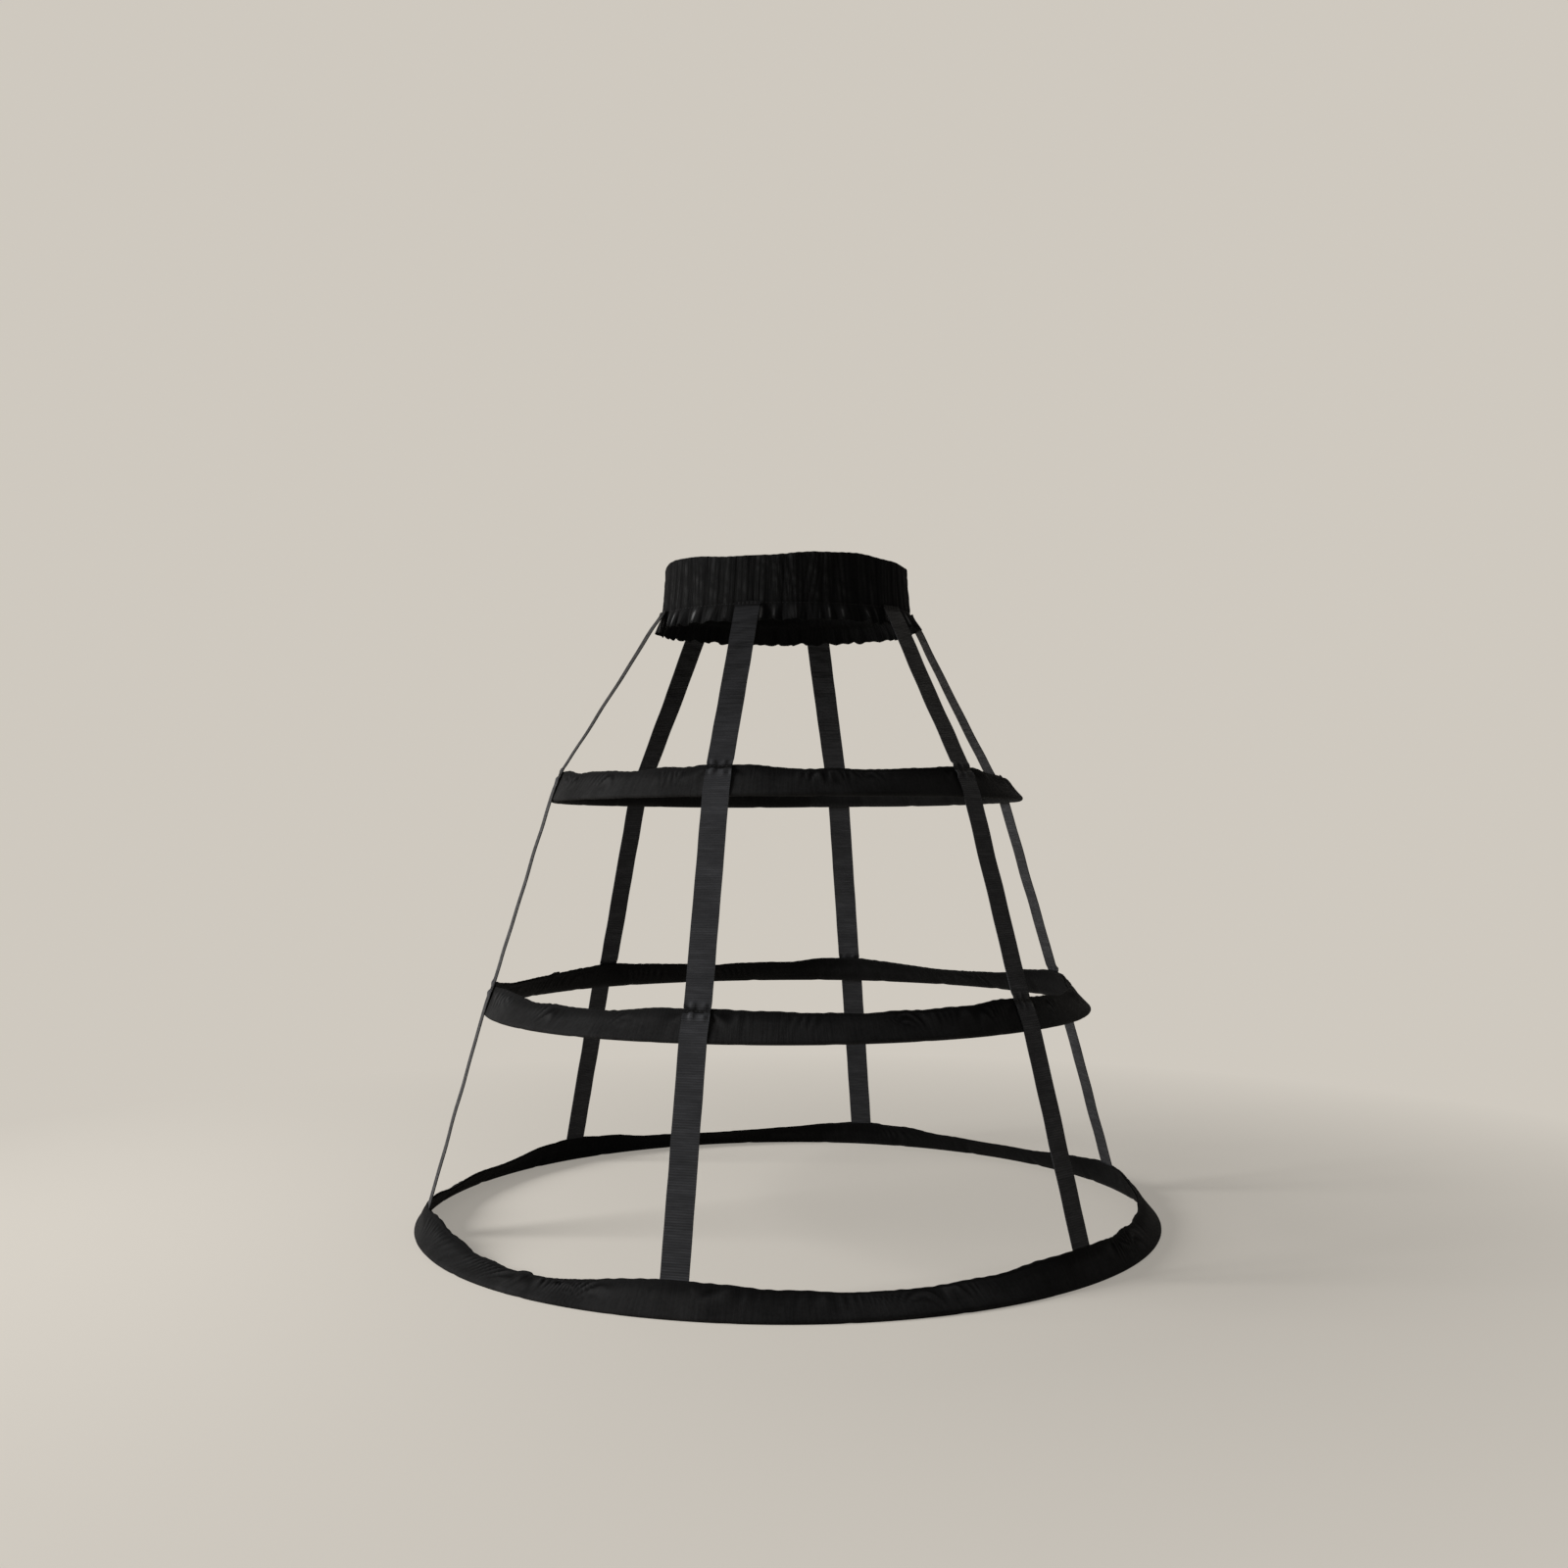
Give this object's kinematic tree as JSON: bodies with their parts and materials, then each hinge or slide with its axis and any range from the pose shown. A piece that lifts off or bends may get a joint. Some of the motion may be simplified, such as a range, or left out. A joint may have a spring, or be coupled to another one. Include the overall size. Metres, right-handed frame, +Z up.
{
  "type": "crinoline cage",
  "caption": "Child-size crinoline cage: a gathered elastic waistband with a ruffle carries ribbon tapes that hold boned hoops in cloth casings, widening down to the hem.",
  "frame": {"origin": "centre of the waist opening, halfway up the elastic", "axes": "+Z up out of the waist opening, -Y to the front, +X to the right as seen from the front"},
  "size_m": [0.5986, 0.5988, 0.5335],
  "materials": {
    "gathered_cotton": "black gathered cotton, matt with a faint sheen on the crests",
    "casing_cotton": "black folded cotton strip, matt, puckered along its seam",
    "ribbon": "black ribbed ribbon with a soft sheen",
    "elastic": "black woven elastic",
    "boning": "plain plastic strip",
    "joiner": "plain thin steel"
  },
  "bodies": {
    "root": {"waistband_cover": "gathered_cotton", "waist_elastic": "elastic", "top_hoop_casing": "casing_cotton", "top_hoop_bone": "boning", "top_bone_joiner": "joiner", "middle_hoop_casing": "casing_cotton", "middle_hoop_bone": "boning", "middle_bone_joiner": "joiner", "bottom_hoop_casing": "casing_cotton", "bottom_hoop_bone": "boning", "bottom_bone_joiner": "joiner", "front_left_tape": "ribbon", "front_right_tape": "ribbon", "right_tape": "ribbon", "back_right_tape": "ribbon", "back_left_tape": "ribbon", "left_tape": "ribbon"}
  },
  "joints": []
}
